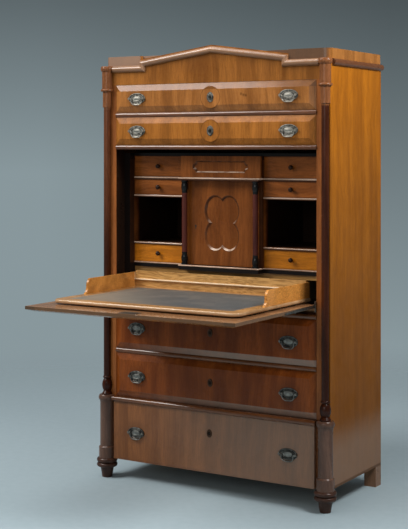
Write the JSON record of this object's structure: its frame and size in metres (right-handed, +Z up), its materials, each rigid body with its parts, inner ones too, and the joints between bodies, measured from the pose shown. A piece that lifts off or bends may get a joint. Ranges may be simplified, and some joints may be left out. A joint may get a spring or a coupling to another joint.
{
  "type": "fall-front escritoire",
  "caption": "Tall wooden writing cabinet with a fall flap and leather tray, fitted inner drawers, a cupboard, large drawers, turned corner columns and a low gable.",
  "frame": {"origin": "on the floor, under the middle of the whole object with its flap open", "axes": "+X to the user's right hand as they face the front, +Y to the back, +Z up"},
  "size_m": [1.086, 1.05, 1.759],
  "materials": {
    "case_wood": "french polish",
    "front_wood": "french polish",
    "plinth_wood": "french polish",
    "inner_wood": "french polish",
    "tray_wood": "french polish",
    "lining_wood": "bare wood",
    "black_wood": "ebonised polish",
    "brass": "tarnished",
    "leather": "worn"
  },
  "bodies": {
    "case": {"side_panel_left": "case_wood", "side_panel_right": "case_wood", "corner_posts": "front_wood", "back_boards": "lining_wood", "dust_boards": "lining_wood", "drawer_rails": "front_wood", "plinth_moulding": "front_wood", "gable_board": "front_wood", "cornice_moulding": "case_wood", "cornice_board": "case_wood", "attic_box": "case_wood", "corner_columns": "front_wood", "plinth_columns": "front_wood", "feet": "case_wood", "pivot_plates": "brass", "inner_case": "inner_wood", "inner_apron": "inner_wood", "centre_front": "inner_wood", "frieze_plaque": "inner_wood", "colonnettes": "black_wood"},
    "flap": {"flap_board": "front_wood", "flap_brasses": "brass", "tray_runners": "tray_wood"},
    "tray": {"tray_board": "tray_wood", "tray_leather": "leather", "tray_gallery": "tray_wood"},
    "door": {"door_panel": "inner_wood", "door_moulding": "inner_wood", "door_hinges": "brass"},
    "drawer_1": {"drawer_1_front": "front_wood", "drawer_1_box": "lining_wood", "drawer_1_fittings": "brass"},
    "drawer_1_bail_left": {"drawer_1_bail_left": "brass"},
    "drawer_1_bail_right": {"drawer_1_bail_right": "brass"},
    "drawer_2": {"drawer_2_front": "front_wood", "drawer_2_box": "lining_wood", "drawer_2_fittings": "brass"},
    "drawer_2_bail_left": {"drawer_2_bail_left": "brass"},
    "drawer_2_bail_right": {"drawer_2_bail_right": "brass"},
    "drawer_a": {"drawer_a_front": "front_wood", "drawer_a_box": "lining_wood", "drawer_a_fittings": "brass"},
    "drawer_a_bail_left": {"drawer_a_bail_left": "brass"},
    "drawer_a_bail_right": {"drawer_a_bail_right": "brass"},
    "drawer_b": {"drawer_b_front": "front_wood", "drawer_b_box": "lining_wood", "drawer_b_fittings": "brass"},
    "drawer_b_bail_left": {"drawer_b_bail_left": "brass"},
    "drawer_b_bail_right": {"drawer_b_bail_right": "brass"},
    "plinth_drawer": {"plinth_drawer_front": "plinth_wood", "plinth_drawer_box": "lining_wood", "plinth_drawer_fittings": "brass"},
    "plinth_drawer_bail_left": {"plinth_drawer_bail_left": "brass"},
    "plinth_drawer_bail_right": {"plinth_drawer_bail_right": "brass"},
    "small_drawer_low_left": {"small_drawer_low_left": "inner_wood"},
    "small_drawer_low_right": {"small_drawer_low_right": "inner_wood"},
    "small_drawer_middle_left": {"small_drawer_middle_left": "inner_wood"},
    "small_drawer_middle_right": {"small_drawer_middle_right": "inner_wood"},
    "small_drawer_top_left": {"small_drawer_top_left": "inner_wood"},
    "small_drawer_top_right": {"small_drawer_top_right": "inner_wood"}
  },
  "joints": [
    {"name": "flap_hinge", "type": "hinge", "parent": "case", "child": "flap", "pos_m": [0, 0.063, 0.755], "axis": [-1, 0, 0], "range_deg": [0, 90]},
    {"name": "tray_slide", "type": "slide", "parent": "flap", "child": "tray", "axis": [0, -1, 0], "range_m": [0, 0.06]},
    {"name": "door_hinge", "type": "hinge", "parent": "case", "child": "door", "pos_m": [0.15025, 0.1405, 1.054], "axis": [0, 0, -1], "range_deg": [-90, 0]},
    {"name": "drawer_1_slide", "type": "slide", "parent": "case", "child": "drawer_1", "axis": [0, -1, 0], "range_m": [0, 0.3]},
    {"name": "drawer_1_bail_left_hinge", "type": "hinge", "parent": "drawer_1", "child": "drawer_1_bail_left", "pos_m": [-0.348, 0.047, 1.554], "axis": [-1, 0, 0], "range_deg": [0, 85]},
    {"name": "drawer_1_bail_right_hinge", "type": "hinge", "parent": "drawer_1", "child": "drawer_1_bail_right", "pos_m": [0.348, 0.047, 1.554], "axis": [-1, 0, 0], "range_deg": [0, 85]},
    {"name": "drawer_2_slide", "type": "slide", "parent": "case", "child": "drawer_2", "axis": [0, -1, 0], "range_m": [0, 0.3]},
    {"name": "drawer_2_bail_left_hinge", "type": "hinge", "parent": "drawer_2", "child": "drawer_2_bail_left", "pos_m": [-0.348, 0.047, 1.422], "axis": [-1, 0, 0], "range_deg": [0, 85]},
    {"name": "drawer_2_bail_right_hinge", "type": "hinge", "parent": "drawer_2", "child": "drawer_2_bail_right", "pos_m": [0.348, 0.047, 1.422], "axis": [-1, 0, 0], "range_deg": [0, 85]},
    {"name": "drawer_a_slide", "type": "slide", "parent": "case", "child": "drawer_a", "axis": [0, -1, 0], "range_m": [0, 0.3]},
    {"name": "drawer_a_bail_left_hinge", "type": "hinge", "parent": "drawer_a", "child": "drawer_a_bail_left", "pos_m": [-0.348, 0.047, 0.622], "axis": [-1, 0, 0], "range_deg": [0, 85]},
    {"name": "drawer_a_bail_right_hinge", "type": "hinge", "parent": "drawer_a", "child": "drawer_a_bail_right", "pos_m": [0.348, 0.047, 0.622], "axis": [-1, 0, 0], "range_deg": [0, 85]},
    {"name": "drawer_b_slide", "type": "slide", "parent": "case", "child": "drawer_b", "axis": [0, -1, 0], "range_m": [0, 0.3]},
    {"name": "drawer_b_bail_left_hinge", "type": "hinge", "parent": "drawer_b", "child": "drawer_b_bail_left", "pos_m": [-0.348, 0.047, 0.426], "axis": [-1, 0, 0], "range_deg": [0, 85]},
    {"name": "drawer_b_bail_right_hinge", "type": "hinge", "parent": "drawer_b", "child": "drawer_b_bail_right", "pos_m": [0.348, 0.047, 0.426], "axis": [-1, 0, 0], "range_deg": [0, 85]},
    {"name": "plinth_drawer_slide", "type": "slide", "parent": "case", "child": "plinth_drawer", "axis": [0, -1, 0], "range_m": [0, 0.3]},
    {"name": "plinth_drawer_bail_left_hinge", "type": "hinge", "parent": "plinth_drawer", "child": "plinth_drawer_bail_left", "pos_m": [-0.348, 0.041, 0.198], "axis": [-1, 0, 0], "range_deg": [0, 85]},
    {"name": "plinth_drawer_bail_right_hinge", "type": "hinge", "parent": "plinth_drawer", "child": "plinth_drawer_bail_right", "pos_m": [0.348, 0.041, 0.198], "axis": [-1, 0, 0], "range_deg": [0, 85]},
    {"name": "small_drawer_low_left_slide", "type": "slide", "parent": "case", "child": "small_drawer_low_left", "axis": [0, 1, 0], "range_m": [-0.18, 0]},
    {"name": "small_drawer_low_right_slide", "type": "slide", "parent": "case", "child": "small_drawer_low_right", "axis": [0, 1, 0], "range_m": [-0.18, 0]},
    {"name": "small_drawer_middle_left_slide", "type": "slide", "parent": "case", "child": "small_drawer_middle_left", "axis": [0, 1, 0], "range_m": [-0.18, 0]},
    {"name": "small_drawer_middle_right_slide", "type": "slide", "parent": "case", "child": "small_drawer_middle_right", "axis": [0, 1, 0], "range_m": [-0.18, 0]},
    {"name": "small_drawer_top_left_slide", "type": "slide", "parent": "case", "child": "small_drawer_top_left", "axis": [0, 1, 0], "range_m": [-0.18, 0]},
    {"name": "small_drawer_top_right_slide", "type": "slide", "parent": "case", "child": "small_drawer_top_right", "axis": [0, 1, 0], "range_m": [-0.18, 0]}
  ],
  "couplings": [
    {"joint": "tray_slide", "follows": "flap_hinge", "m_per_rad": 0.0381}
  ]
}
